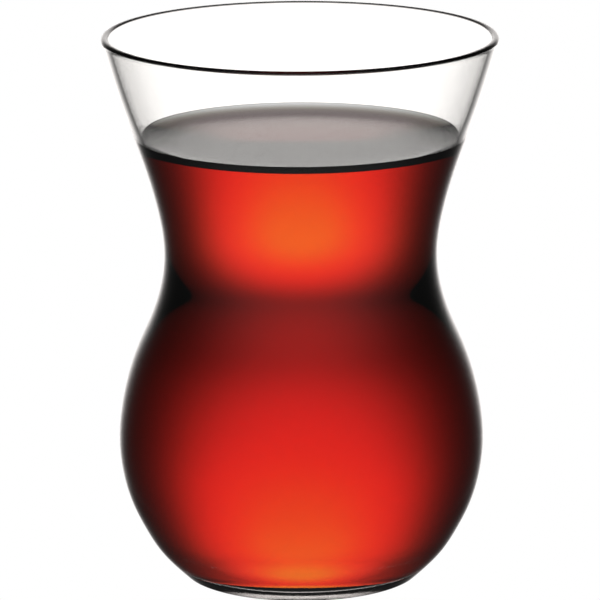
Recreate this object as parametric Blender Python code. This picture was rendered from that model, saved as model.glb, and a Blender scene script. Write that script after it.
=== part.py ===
# Tulip-shaped tea glass with its tea: a thin turned glass with a round bulb, a narrow
# waist and a flared lip, and the drink that fills it to well above the waist.
# Metres, +Z up. The origin is the centre of the foot, in the plane that it stands on.

import math

import bpy
import numpy as np

SEGMENTS = 64

# Heights above the table, and radii of the outside there.
GLASS_HEIGHT = 0.0840
LIP_RADIUS = 0.0303
WAIST_HEIGHT = 0.0500
WAIST_RADIUS = 0.02089
BULB_HEIGHT = 0.0210
BULB_RADIUS = 0.02802
HEEL_RADIUS = 0.018

# The outside is one smooth curve through these heights and radii.
OUTSIDE_STATIONS = (
    (0.0, HEEL_RADIUS),
    (0.004, 0.02197),
    (0.0075, 0.02423),
    (0.011, 0.02597),
    (0.016, 0.02748),
    (BULB_HEIGHT, BULB_RADIUS),
    (0.026, 0.02765),
    (0.031, 0.02661),
    (0.036, 0.0249),
    (0.04, 0.02314),
    (0.044, 0.02176),
    (WAIST_HEIGHT, WAIST_RADIUS),
    (0.057, 0.02177),
    (0.064, 0.02374),
    (0.074, 0.02726),
    (GLASS_HEIGHT, LIP_RADIUS),
)

# Thickness of the wall, measured level, from the heel up to the lip.
WALL_STATIONS = (
    (0.004, 0.0041),
    (0.011, 0.0021),
    (BULB_HEIGHT, 0.0017),
    (WAIST_HEIGHT, 0.0014),
    (0.068, 0.00115),
    (GLASS_HEIGHT, 0.0011),
)

# The hollow has a flat floor and a heel that is round as where a ball would rest.
BASE_THICKNESS = 0.0025
HEEL_ROUNDING = 0.0066
LIP_ROUNDING = 0.00055
FOOT_ROUNDING = 0.0009
FOOT_RING_WIDTH = 0.0033
PUNT_HEIGHT = 0.00034

TEA_LEVEL = 0.0673
TEA_GAP = 0.0003
MENISCUS_RISE = 0.0016
MENISCUS_REACH = 0.0023
MENISCUS_SPAN = 0.0100

# Parts that each stretch of a profile is divided into.
OUTSIDE_STEPS = 27
WALL_STEPS = 16
LOW_WALL_STEPS = 5
HEEL_STEPS = 6
LIP_STEPS = 4
FOOT_STEPS = 3
PUNT_STEPS = 3
MENISCUS_STEPS = 6

SLOPE_STEP = 0.00002
FOOT_SLOPE_STEP = 0.0005
HALVINGS = 40

GLASS_COLOUR = (0.97, 0.98, 0.975, 1.0)
TEA_COLOUR = (0.50, 0.035, 0.012, 1.0)


def smooth_curve(stations, where):
    """Values at the places in where of the natural cubic spline through the stations."""
    x, y = np.array(stations).T
    steps = np.diff(x)
    slopes = np.diff(y) / steps
    system = np.eye(len(x))
    right = np.zeros(len(x))
    for i in range(1, len(x) - 1):
        system[i, i - 1 : i + 2] = steps[i - 1], 2 * (steps[i - 1] + steps[i]), steps[i]
        right[i] = 6 * (slopes[i] - slopes[i - 1])
    bend = np.linalg.solve(system, right)
    where = np.asarray(where, float)
    k = np.clip(np.searchsorted(x, where) - 1, 0, len(steps) - 1)
    after, before = where - x[k], x[k + 1] - where
    return (
        (bend[k] * before**3 + bend[k + 1] * after**3) / (6 * steps[k])
        + (y[k] / steps[k] - bend[k] * steps[k] / 6) * before
        + (y[k + 1] / steps[k] - bend[k + 1] * steps[k] / 6) * after
    )


def outside_radius(height):
    return float(smooth_curve(OUTSIDE_STATIONS, height))


def inside_radius(height):
    """Radius of the hollow from the bulb up: the outside less the wall."""
    return outside_radius(height) - float(smooth_curve(WALL_STATIONS, height))


def arc(centre, radius, start, end, steps):
    """Points (radius, height) on a circle, from one angle to another, both ends included."""
    angles = [start + (end - start) * i / steps for i in range(steps + 1)]
    return [(centre[0] + radius * math.cos(a), centre[1] + radius * math.sin(a)) for a in angles]


def side_point(height, inset):
    """A point on the side of the hollow, moved inwards by inset, and the way out from there."""
    above, below = inside_radius(height + SLOPE_STEP), inside_radius(height - SLOPE_STEP)
    slope = (above - below) / (2 * SLOPE_STEP)
    length = math.hypot(1, slope)
    outward = (1 / length, -slope / length)
    return (inside_radius(height) - inset * outward[0], height - inset * outward[1]), outward


def heel_height():
    """Height at which a ball that rests on the floor of the hollow touches its side."""
    low, high = 0.0, BULB_HEIGHT
    for _ in range(HALVINGS):
        middle = (low + high) / 2
        centre, _outward = side_point(middle, HEEL_ROUNDING)
        if centre[1] < BASE_THICKNESS + HEEL_ROUNDING:
            low = middle
        else:
            high = middle
    return low


def bowl_points(inset):
    """The bottom of the hollow from the axis up to below the bulb, moved inwards by inset."""
    touch = heel_height()
    centre, outward = side_point(touch, HEEL_ROUNDING)
    side_angle = math.atan2(outward[1], outward[0])
    points = [(0.0, BASE_THICKNESS + inset)]
    points += arc(centre, HEEL_ROUNDING - inset, -0.5 * math.pi, side_angle, HEEL_STEPS)
    for height in np.linspace(touch, BULB_HEIGHT, LOW_WALL_STEPS + 1)[1:-1]:
        points.append(side_point(float(height), inset)[0])
    return points


def wall_points(top, inset):
    """The side of the hollow from the bulb up to top, moved inwards by inset."""
    heights = np.linspace(BULB_HEIGHT, GLASS_HEIGHT - LIP_ROUNDING, WALL_STEPS)
    heights = [float(h) for h in heights if h < top] + [top]
    return [(inside_radius(h) - inset, h) for h in heights]


def foot_points():
    """The rounded edge of the foot, from the side of the bulb round to the table."""
    widening = outside_radius(FOOT_SLOPE_STEP) - outside_radius(0.0)
    lean = math.atan(widening / FOOT_SLOPE_STEP)
    side_height = FOOT_ROUNDING * (1 - math.sin(lean))
    centre_radius = outside_radius(side_height) - FOOT_ROUNDING * math.cos(lean)
    return arc((centre_radius, FOOT_ROUNDING), FOOT_ROUNDING, -lean, -0.5 * math.pi, FOOT_STEPS)


def punt_points(ring_inner):
    """The shallow hollow under the base, from the ring that it stands on to the axis."""
    points = []
    for i in range(PUNT_STEPS + 1):
        share = i / PUNT_STEPS
        rise = PUNT_HEIGHT * math.sin(0.5 * math.pi * share)
        points.append((ring_inner * (1 - share), rise))
    return points


def glass_profile():
    """From the axis inside, up the hollow, over the lip and down the outside to the axis."""
    lip_height = GLASS_HEIGHT - LIP_ROUNDING
    inside = bowl_points(0.0) + wall_points(lip_height, 0.0)
    lip_centre = (outside_radius(lip_height) - LIP_ROUNDING, lip_height)
    lip = arc(lip_centre, LIP_ROUNDING, math.pi, 0.0, LIP_STEPS)
    foot = foot_points()
    heights = np.linspace(lip_height, foot[0][1], OUTSIDE_STEPS)
    outside = [(outside_radius(h), float(h)) for h in heights]
    punt = punt_points(foot[-1][0] - FOOT_RING_WIDTH)
    return inside[:-1] + lip + outside[1:-1] + foot + punt


def tea_profile():
    """From the axis on the surface, out along it and up its edge, then down to the axis."""
    edge_height = TEA_LEVEL + MENISCUS_RISE
    edge_radius = inside_radius(edge_height) - TEA_GAP
    surface = [(0.0, TEA_LEVEL)]
    for i in range(MENISCUS_STEPS):
        inward = MENISCUS_SPAN * (1 - i / MENISCUS_STEPS) ** 2
        rise = MENISCUS_RISE * math.exp(-inward / MENISCUS_REACH)
        surface.append((edge_radius - inward, TEA_LEVEL + rise))
    side = wall_points(edge_height, TEA_GAP)
    return surface + side[::-1] + bowl_points(TEA_GAP)[::-1]


def principled(name, colour, roughness, transmission, refraction):
    material = bpy.data.materials.new(name)
    material.use_nodes = True
    shader = material.node_tree.nodes["Principled BSDF"]
    shader.inputs["Base Color"].default_value = colour
    shader.inputs["Roughness"].default_value = roughness
    shader.inputs["Metallic"].default_value = 0.0
    shader.inputs["Transmission Weight"].default_value = transmission
    shader.inputs["IOR"].default_value = refraction
    material.diffuse_color = colour
    return material


def turned(name, profile, material):
    """A solid of revolution round +Z, from a profile that runs down its outer side."""
    mesh = bpy.data.meshes.new(name)
    points = [(radius, 0.0, height) for radius, height in profile]
    edges = [(i, i + 1) for i in range(len(points) - 1)]
    mesh.from_pydata(points, edges, [])
    mesh.materials.append(material)
    body = bpy.data.objects.new(name, mesh)
    bpy.context.scene.collection.objects.link(body)
    screw = body.modifiers.new("Turn", "SCREW")
    screw.axis = "Z"
    screw.steps = SEGMENTS
    screw.render_steps = SEGMENTS
    screw.use_merge_vertices = True
    screw.merge_threshold = 0.00001
    screw.use_smooth_shade = True
    return body


def main():
    for old in list(bpy.data.objects):
        bpy.data.objects.remove(old, do_unlink=True)
    turned("glass", glass_profile(), principled("clear_glass", GLASS_COLOUR, 0.0, 1.0, 1.5))
    turned("tea", tea_profile(), principled("black_tea", TEA_COLOUR, 0.0, 1.0, 1.333))


main()
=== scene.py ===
import math

import bpy
import numpy as np
from mathutils import Euler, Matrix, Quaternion, Vector


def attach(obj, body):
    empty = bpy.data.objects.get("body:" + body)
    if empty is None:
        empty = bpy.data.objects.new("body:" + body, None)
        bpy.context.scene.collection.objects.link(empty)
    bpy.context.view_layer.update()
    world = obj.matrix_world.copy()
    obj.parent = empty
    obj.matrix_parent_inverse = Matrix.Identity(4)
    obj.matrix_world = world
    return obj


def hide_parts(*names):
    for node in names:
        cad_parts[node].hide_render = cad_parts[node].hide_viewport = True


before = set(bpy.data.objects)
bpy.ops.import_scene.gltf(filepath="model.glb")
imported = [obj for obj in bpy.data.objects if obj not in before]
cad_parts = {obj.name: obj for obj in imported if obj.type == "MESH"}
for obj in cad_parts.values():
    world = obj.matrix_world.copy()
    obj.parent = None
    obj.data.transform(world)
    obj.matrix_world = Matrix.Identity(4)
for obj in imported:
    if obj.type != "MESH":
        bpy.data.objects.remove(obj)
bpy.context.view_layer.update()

# A tulip-shaped tea glass, full of tea, in front of a white backdrop. Everything is in
# metres, +Z is up, and the glass stands on its foot at the origin.


def smoothCurve(stations, where):
    # natural cubic spline through (place, value) pairs
    x, y = np.array(stations).T
    steps = np.diff(x)
    slopes = np.diff(y) / steps
    system = np.eye(len(x))
    right = np.zeros(len(x))
    for i in range(1, len(x) - 1):
        system[i, i - 1:i + 2] = steps[i - 1], 2 * (steps[i - 1] + steps[i]), steps[i]
        right[i] = 6 * (slopes[i] - slopes[i - 1])
    bend = np.linalg.solve(system, right)
    where = np.asarray(where, float)
    k = np.clip(np.searchsorted(x, where) - 1, 0, len(steps) - 1)
    after, before = where - x[k], x[k + 1] - where
    return (
        (bend[k] * before**3 + bend[k + 1] * after**3) / (6 * steps[k])
        + (y[k] / steps[k] - bend[k] * steps[k] / 6) * before
        + (y[k + 1] / steps[k] - bend[k + 1] * steps[k] / 6) * after
    )


def arc(centre, radius, start, end, count):
    angles = np.linspace(start, end, count + 1)
    return [(centre[0] + radius * math.cos(a), centre[1] + radius * math.sin(a)) for a in angles]


def markCorners(mesh, radius, height, segments, cornerAngle):
    # a ring where the profile turns by more than cornerAngle degrees stays sharp
    heading = np.arctan2(np.diff(height), np.diff(radius))
    bend = np.abs((np.diff(heading) + math.pi) % (2 * math.pi) - math.pi)
    corner = np.append(bend > math.radians(cornerAngle), [False, False])
    ends = np.zeros(2 * len(mesh.edges), int)
    mesh.edges.foreach_get("vertices", ends)
    onRing = ends.reshape(-1, 2) // segments
    lastRing = len(radius) - 2
    sameRing = onRing[:, 0] == onRing[:, 1]
    sharp = sameRing & corner[np.minimum(onRing[:, 0], lastRing)]
    mesh.edges.foreach_set("use_edge_sharp", sharp)


def unwrapTurn(mesh, radius, height, segments):
    # the UVs run round the turn and along the profile, in the order of the faces' corners
    along = np.concatenate([[0], np.cumsum(np.hypot(np.diff(radius), np.diff(height)))])
    along /= along[-1]
    uv = []
    for i in range(segments):
        u, w = i / segments, (i + 1) / segments
        uv += [(u, along[0]), (u, along[1]), (w, along[1])]
        for low, high in zip(along[1:-2], along[2:-1]):
            uv += [(u, low), (u, high), (w, high), (w, low)]
        uv += [(u, along[-2]), (u, along[-1]), (w, along[-2])]
    layer = mesh.uv_layers.new(name="turn")
    layer.data.foreach_set("uv", np.array(uv).ravel())


def turned(name, profile, segments, material):
    # a closed body from (radius, height) points that start and end on the axis
    rings = len(profile) - 2
    radius, height = np.array(profile).T
    turn = np.linspace(0, 2 * math.pi, segments, endpoint=False)
    ring = np.stack([
        np.outer(radius[1:-1], np.cos(turn)),
        np.outer(radius[1:-1], np.sin(turn)),
        np.outer(height[1:-1], np.ones(segments)),
    ], axis=-1).reshape(-1, 3)
    points = np.vstack([ring, (0, 0, height[0]), (0, 0, height[-1])])
    first, last = len(ring), len(ring) + 1

    faces = []
    for i in range(segments):
        j = (i + 1) % segments
        faces.append((first, i, j))
        for k in range(rings - 1):
            a, b = k * segments, (k + 1) * segments
            faces.append((a + i, b + i, b + j, a + j))
        b = (rings - 1) * segments
        faces.append((b + i, last, b + j))

    mesh = bpy.data.meshes.new(name)
    mesh.from_pydata(points.tolist(), [], faces)
    mesh.materials.append(material)
    mesh.polygons.foreach_set("use_smooth", [True] * len(mesh.polygons))
    markCorners(mesh, radius, height, segments, cornerAngle=40)
    unwrapTurn(mesh, radius, height, segments)
    mesh.update()

    body = bpy.data.objects.new(name, mesh)
    bpy.context.scene.collection.objects.link(body)
    return body


def newGroup(name, inputs, outputs):
    group = bpy.data.node_groups.new(name, "ShaderNodeTree")
    for label, kind, value in inputs:
        socket = group.interface.new_socket(label, in_out="INPUT", socket_type=kind)
        if value is not None:
            socket.default_value = value
    for label, kind in outputs:
        group.interface.new_socket(label, in_out="OUTPUT", socket_type=kind)
    start = group.nodes.new("NodeGroupInput")
    end = group.nodes.new("NodeGroupOutput")
    return group, start, end


def scalarMath(tree, operation, a, b=None):
    node = tree.nodes.new("ShaderNodeMath")
    node.operation = operation
    for socket, value in zip(node.inputs, (a, b)):
        if value is None:
            continue
        if isinstance(value, (int, float)):
            socket.default_value = value
        else:
            tree.links.new(value, socket)
    return node.outputs[0]


def vectorMath(tree, operation, a, b=None, output="Vector"):
    node = tree.nodes.new("ShaderNodeVectorMath")
    node.operation = operation
    for socket, value in zip(node.inputs, (a, b)):
        if value is None:
            continue
        if isinstance(value, bpy.types.NodeSocket):
            tree.links.new(value, socket)
        else:
            socket.default_value = value
    return node.outputs[output]


def handBlown():
    # the slight waves that hot-formed glass keeps, and its faint streaks
    inputs = [
        ("Vector", "NodeSocketVector", None),
        ("Wave Size", "NodeSocketFloat", 90.0),
        ("Streak Depth", "NodeSocketFloat", 0.02),
    ]
    outputs = [("Height", "NodeSocketFloat"), ("Tone", "NodeSocketFloat")]
    group, start, end = newGroup("handBlown", inputs, outputs)
    waves = group.nodes.new("ShaderNodeTexNoise")
    waves.inputs["Detail"].default_value = 1.0
    group.links.new(start.outputs["Vector"], waves.inputs["Vector"])
    group.links.new(start.outputs["Wave Size"], waves.inputs["Scale"])
    group.links.new(waves.outputs["Fac"], end.inputs["Height"])
    tone = scalarMath(group, "MULTIPLY", waves.outputs["Fac"], start.outputs["Streak Depth"])
    group.links.new(scalarMath(group, "SUBTRACT", 1.0, tone), end.inputs["Tone"])
    return group


def placed(tree, group, values):
    node = tree.nodes.new("ShaderNodeGroup")
    node.node_tree = group
    for label, value in values.items():
        node.inputs[label].default_value = value
    return node


def newMaterial(name):
    material = bpy.data.materials.new(name)
    material.use_nodes = True
    tree = material.node_tree
    return material, tree, tree.nodes["Principled BSDF"]


handBlownGroup = handBlown()

glass = {
    "outside": (  # height and radius
        (0.0, 0.018), (0.004, 0.02197), (0.0075, 0.02423), (0.011, 0.02597), (0.016, 0.02748),
        (0.021, 0.02802), (0.026, 0.02765), (0.031, 0.02661), (0.036, 0.0249), (0.04, 0.02314),
        (0.044, 0.02176), (0.05, 0.02089), (0.057, 0.02177), (0.064, 0.02374), (0.074, 0.02726),
        (0.084, 0.0303),
    ),
    "wall": (  # height and thickness, measured level
        (0.004, 0.0041), (0.011, 0.0021), (0.021, 0.0017), (0.050, 0.0014), (0.068, 0.00115),
        (0.084, 0.0011),
    ),
    "height": 0.0840,
    "bulbHeight": 0.0210,
    "baseThickness": 0.0025,
    "heelRounding": 0.0066,
    "lipRounding": 0.00055,
    "footRounding": 0.0009,
    "footRing": 0.0033,
    "puntHeight": 0.00034,
    "segments": 192,
    "bowlSteps": 60,
    "sideSteps": 110,
    "lipSteps": 14,
    "outsideSteps": 150,
    "footSteps": 10,
    "puntSteps": 24,
    "colour": (0.985, 0.992, 0.988, 1.0),
    "streakColour": (0.95, 0.97, 0.96, 1.0),
    "streakDepth": 0.02,
    "refraction": 1.5,
    "waveSize": 90.0,
    "waveDepth": 0.00001,
}


def outsideRadius(height):
    return float(smoothCurve(glass["outside"], height))


def insideRadius(height):
    return outsideRadius(height) - float(smoothCurve(glass["wall"], height))


def sidePoint(height, outset):
    # a point on the side of the hollow, moved into the glass, and the way out from there
    small = 0.00002
    slope = (insideRadius(height + small) - insideRadius(height - small)) / (2 * small)
    length = math.hypot(1, slope)
    out = (1 / length, -slope / length)
    return (insideRadius(height) + outset * out[0], height + outset * out[1]), out


def hollow(top, outset, bowlSteps, sideSteps):
    # the inside from the axis up to a height, moved into the glass by outset: the floor is
    # flat, and the heel is round as where a ball would rest
    floorHeight, rounding = glass["baseThickness"], glass["heelRounding"]
    bulb, halfSteps = glass["bulbHeight"], bowlSteps // 2
    low, high = 0.3 * floorHeight, bulb
    for _ in range(40):  # halves the stretch in which the ball touches the side
        middle = (low + high) / 2
        if sidePoint(middle, -rounding)[0][1] < floorHeight + rounding:
            low = middle
        else:
            high = middle
    centre, out = sidePoint(low, -rounding)
    points = [(centre[0] * share, floorHeight - outset) for share in (0, 0.25, 0.5, 0.75)]
    sideAngle = math.atan2(out[1], out[0])
    points += arc(centre, rounding + outset, -math.pi / 2, sideAngle, halfSteps)
    for h in np.linspace(low, bulb, halfSteps + 2)[1:-1]:
        points.append(sidePoint(float(h), outset)[0])
    for h in np.linspace(bulb, top, sideSteps):
        points.append((insideRadius(h) + outset, float(h)))
    return points


def lipArc(lipHeight):
    rounding = glass["lipRounding"]
    centre = (outsideRadius(lipHeight) - rounding, lipHeight)
    return arc(centre, rounding, math.pi, 0, glass["lipSteps"])


def footArc():
    # the foot's edge leaves the bulb's side at the side's own lean
    small = 0.0005
    lean = math.atan((outsideRadius(small) - outsideRadius(0)) / small)
    rounding = glass["footRounding"]
    sideHeight = rounding * (1 - math.sin(lean))
    centre = (outsideRadius(sideHeight) - rounding * math.cos(lean), rounding)
    return arc(centre, rounding, -lean, -math.pi / 2, glass["footSteps"])


def glassProfile():
    lipHeight = glass["height"] - glass["lipRounding"]
    inside = hollow(lipHeight, 0.0, glass["bowlSteps"], glass["sideSteps"])
    foot = footArc()
    heights = np.linspace(lipHeight, foot[0][1], glass["outsideSteps"])
    outside = [(outsideRadius(h), float(h)) for h in heights]
    ringInner = foot[-1][0] - glass["footRing"]
    punt = []
    for share in np.linspace(0, 1, glass["puntSteps"] + 1):
        rise = glass["puntHeight"] * math.sin(share * math.pi / 2)
        punt.append((ringInner * (1 - share), rise))
    return inside[:-1] + lipArc(lipHeight) + outside[1:-1] + foot + punt


def clearGlass():
    material, tree, shader = newMaterial("clear_glass")
    shader.inputs["Roughness"].default_value = 0.0
    shader.inputs["IOR"].default_value = glass["refraction"]
    shader.inputs["Transmission Weight"].default_value = 1.0
    where = tree.nodes.new("ShaderNodeTexCoord")
    values = {"Wave Size": glass["waveSize"], "Streak Depth": glass["streakDepth"]}
    blown = placed(tree, handBlownGroup, values)
    tree.links.new(where.outputs["Object"], blown.inputs["Vector"])
    tint = tree.nodes.new("ShaderNodeMix")
    tint.data_type = "RGBA"
    tint.inputs["A"].default_value = glass["streakColour"]
    tint.inputs["B"].default_value = glass["colour"]
    tree.links.new(blown.outputs["Tone"], tint.inputs["Factor"])
    tree.links.new(tint.outputs["Result"], shader.inputs["Base Color"])
    bump = tree.nodes.new("ShaderNodeBump")
    bump.inputs["Distance"].default_value = glass["waveDepth"]
    tree.links.new(blown.outputs["Height"], bump.inputs["Height"])
    tree.links.new(bump.outputs["Normal"], shader.inputs["Normal"])
    return material


glassBody = turned("teaGlass", glassProfile(), glass["segments"], clearGlass())
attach(glassBody, "root")
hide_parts("glass")
print("glass:", len(glassBody.data.polygons), "faces")


tea = {
    "level": 0.0673,
    "intoWall": 0.00015,
    "meniscusRise": 0.0016,
    "meniscusReach": 0.0023,
    "meniscusSpan": 0.0120,
    "segments": 192,
    "flatSteps": 30,
    "meniscusSteps": 40,
    "bowlSteps": 60,
    "sideSteps": 90,
    "refraction": 1.333,
    "absorption": (11.4, 108, 132.3),  # per metre, red, green and blue
}


def surfaceHeight(inward):
    # inward is the distance from the surface's edge, where the tea climbs the wall
    return tea["level"] + tea["meniscusRise"] * math.exp(-inward / tea["meniscusReach"])


def teaProfile():
    edgeHeight = tea["level"] + tea["meniscusRise"]
    edgeRadius = insideRadius(edgeHeight)
    span = tea["meniscusSpan"]
    inwards = list(edgeRadius - np.linspace(0, edgeRadius - span, tea["flatSteps"]))
    inwards += list(span * np.linspace(1, 0, tea["meniscusSteps"] + 1)[1:] ** 1.5)
    surface = [(float(edgeRadius - inward), surfaceHeight(inward)) for inward in inwards]
    side = hollow(edgeHeight, tea["intoWall"], tea["bowlSteps"], tea["sideSteps"])
    return surface + side[::-1]


def blackTea():
    material, tree, shader = newMaterial("black_tea")
    shader.inputs["Base Color"].default_value = (1, 1, 1, 1)
    shader.inputs["Roughness"].default_value = 0.0
    shader.inputs["IOR"].default_value = tea["refraction"]
    shader.inputs["Transmission Weight"].default_value = 1.0
    density = max(tea["absorption"]) * 1.02  # keeps every channel of the colour above 0
    brew = tree.nodes.new("ShaderNodeVolumeAbsorption")
    brew.inputs["Color"].default_value = [1 - a / density for a in tea["absorption"]] + [1.0]
    brew.inputs["Density"].default_value = density
    output = tree.nodes["Material Output"]
    tree.links.new(brew.outputs["Volume"], output.inputs["Volume"])
    return material


teaBody = turned("blackTea", teaProfile(), tea["segments"], blackTea())
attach(teaBody, "root")
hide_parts("tea")
print("tea:", len(teaBody.data.polygons), "faces")


floor = {
    "halfWidth": 1.5,
    "drop": 0.0002,  # below the foot, so that the two don't touch
}


def stagePiece(name, points, faces, material):
    mesh = bpy.data.meshes.new(name)
    mesh.from_pydata(points, [], faces)
    mesh.materials.append(material)
    piece = bpy.data.objects.new(name, mesh)
    bpy.context.scene.collection.objects.link(piece)
    piece.visible_diffuse = piece.visible_shadow = False
    return piece


def whiteFloor():
    w, z = floor["halfWidth"], -floor["drop"]
    material, tree, shader = newMaterial("paleFloor")
    tree.nodes.remove(shader)
    white = tree.nodes.new("ShaderNodeEmission")
    tree.links.new(white.outputs[0], tree.nodes["Material Output"].inputs["Surface"])
    corners = [(-w, -w, z), (w, -w, z), (w, w, z), (-w, w, z)]
    plane = stagePiece("floor", corners, [(0, 1, 2, 3)], material)
    plane.visible_glossy = plane.visible_transmission = False


whiteFloor()
print("floor")


# The glass stands in a round light tent, which shows only through the glass and the tea and
# as reflections in them. This is no real studio light: what went through the tea sees other
# glows than what went through the bare wall, and all of them are fitted to the photo's
# colours. The tent glows behind the glass for four directions alone, mainSide and
# otherSides. From any other side the tent is dark, and so are the tea and the clear wall.
# Colours are red, green and blue, angles are degrees, and a spread is where a glow is down
# to half, with one for each colour.
light = {
    "tentRadius": 0.7,
    "tentCentre": 0.03,
    "tentRings": 48,
    "tentTurns": 96,
    "brewed": {  # only for light that went through the tea, and much greener than the rest
        "patch": {
            "elevation": -2.4, "strength": (1.7, 9.5, 1.7),
            "spread": (19.5, 8.43, 19.7), "edge": (5.2, 3.64, 5.75),
        },
        "halo": {
            "elevation": -2.4, "strength": (0, 0.52, 0),
            "spread": (23.3, 23.3, 23.3), "edge": (8, 8, 8),
        },
        "low": {
            "elevation": -48.9, "strength": (0.12, 0.135, 0.165),
            "spread": (16.6, 16.6, 16.6), "edge": (10, 10, 10),
        },
        "wide": {
            "elevation": -8, "strength": (0.03, 0.03, 0.03),
            "spread": (60, 60, 60), "edge": (4, 4, 4),
        },
    },
    "clear": {  # what shows through the bare wall, and as reflections
        "elevation": 2.3, "strength": (1.42, 1.363, 1.336),
        "spread": (24.8, 24.8, 24.8), "edge": (7.3, 7.3, 7.3),
    },
    "front": {  # reflections from the camera's own side
        "elevation": -16.2, "strength": (0.34, 0.34, 0.34),
        "spread": (74.3, 74.3, 74.3), "edge": (4.8, 4.8, 4.8),
    },
    "throughTea": 4.5,  # light that crossed more surfaces than this went through the tea
    "mainSide": (225, 0),  # azimuth, and how much higher or lower than in the photo's view
    "otherSides": ((0, 10), (45, -12), (90, 10)),
}


def compass(azimuth, elevation):
    a, e = math.radians(azimuth), math.radians(elevation)
    return Vector((-math.sin(a) * math.cos(e), math.cos(a) * math.cos(e), math.sin(e)))


def tentLight():
    material, tree, shader = newMaterial("tentLight")
    tree.nodes.remove(shader)
    place = tree.nodes.new("ShaderNodeTexCoord")
    where = vectorMath(tree, "NORMALIZE", place.outputs["Object"])
    seen = tree.nodes.new("ShaderNodeLightPath")

    def glow(kind, side):
        # round, even in the middle and soft at its edge
        azimuth, lift = side
        centre = compass(azimuth, kind["elevation"] + lift)
        near = vectorMath(tree, "DOT_PRODUCT", where, centre, "Value")
        away = scalarMath(tree, "ARCCOSINE", scalarMath(tree, "MINIMUM", near, 1.0))
        share = vectorMath(tree, "DIVIDE", away, [math.radians(s) for s in kind["spread"]])
        fall = vectorMath(tree, "POWER", share, kind["edge"])
        below = vectorMath(tree, "ADD", fall, (1, 1, 1))
        return vectorMath(tree, "DIVIDE", kind["strength"], below)

    def add(values):
        total = values[0]
        for value in values[1:]:
            total = vectorMath(tree, "ADD", total, value)
        return total

    def only(colour, *masks):
        for mask in masks:
            colour = vectorMath(tree, "MULTIPLY", colour, mask)
        return colour

    through, mirrored = seen.outputs["Transmission Depth"], seen.outputs["Glossy Depth"]
    deep = scalarMath(tree, "GREATER_THAN", through, light["throughTea"])
    shallow = scalarMath(tree, "LESS_THAN", through, light["throughTea"])
    inside = scalarMath(tree, "GREATER_THAN", through, 0.5)
    outside = scalarMath(tree, "LESS_THAN", through, 0.5)
    straight = scalarMath(tree, "LESS_THAN", mirrored, 0.5)

    sides = (light["mainSide"], *light["otherSides"])
    facing = (light["mainSide"][0] + 180, 0)
    brewed = add([glow(kind, side) for side in sides for kind in light["brewed"].values()])
    clear = glow(light["clear"], light["mainSide"])
    others = add([glow(light["clear"], side) for side in light["otherSides"]])
    total = add([
        only(brewed, deep, straight),
        only(clear, shallow),
        only(others, shallow, inside, straight),
        only(glow(light["front"], facing), outside),
    ])
    glowing = tree.nodes.new("ShaderNodeEmission")
    tree.links.new(total, glowing.inputs["Color"])
    tree.links.new(glowing.outputs[0], tree.nodes["Material Output"].inputs["Surface"])
    material.cycles.emission_sampling = "NONE"
    return material


def lightTent():
    rings, turns, radius = light["tentRings"], light["tentTurns"], light["tentRadius"]
    points = []
    for lean in np.linspace(0, math.pi, rings + 1):
        level, height = radius * math.sin(lean), radius * math.cos(lean)
        for turn in np.linspace(0, 2 * math.pi, turns, endpoint=False):
            points.append((level * math.cos(turn), level * math.sin(turn), height))
    faces = []
    for i in range(rings):
        for j in range(turns):
            k = (j + 1) % turns
            above, below = i * turns, (i + 1) * turns
            faces.append((above + j, below + j, below + k, above + k))
    tent = stagePiece("lightTent", points, faces, tentLight())
    tent.location = (0, 0, light["tentCentre"])
    tent.visible_camera = False


def whiteBackdrop():
    world = bpy.data.worlds.new("backdrop")
    world.use_nodes = True
    world.node_tree.nodes["Background"].inputs["Color"].default_value = (1, 1, 1, 1)
    bpy.context.scene.world = world


lightTent()
whiteBackdrop()
print("light")


view = {
    "azimuth": 225,  # degrees round the glass, which is the same from every side
    "sideways": -0.00013,
    "back": 0.760,
    "height": 0.2231,
    "down": 13.35,  # degrees
    "roll": -0.21,  # degrees
    "lens": 305.8,  # millimetres
    "sensor": 36,
}


def photoCamera():
    data = bpy.data.cameras.new("camera")
    data.lens = view["lens"]
    data.sensor_width = view["sensor"]
    data.clip_start, data.clip_end = 0.01, 10
    camera = bpy.data.objects.new("camera", data)
    bpy.context.scene.collection.objects.link(camera)
    heading = Euler((0, 0, math.radians(view["azimuth"]))).to_quaternion()
    camera.location = heading @ Vector((view["sideways"], -view["back"], view["height"]))
    level = heading @ Euler((math.radians(90 - view["down"]), 0, 0)).to_quaternion()
    camera.rotation_mode = "QUATERNION"
    camera.rotation_quaternion = level @ Quaternion((0, 0, 1), math.radians(view["roll"]))
    bpy.context.scene.camera = camera


photoCamera()
print("camera")

scene = bpy.context.scene
scene.view_settings.view_transform = "Standard"
scene.view_settings.look = "None"

# enough bounces for light to get through the glass, the tea and the glass again
scene.cycles.max_bounces = 32
scene.cycles.transmission_bounces = 24
scene.cycles.glossy_bounces = 12
scene.cycles.volume_bounces = 0
scene.cycles.caustics_reflective = True
scene.cycles.caustics_refractive = True
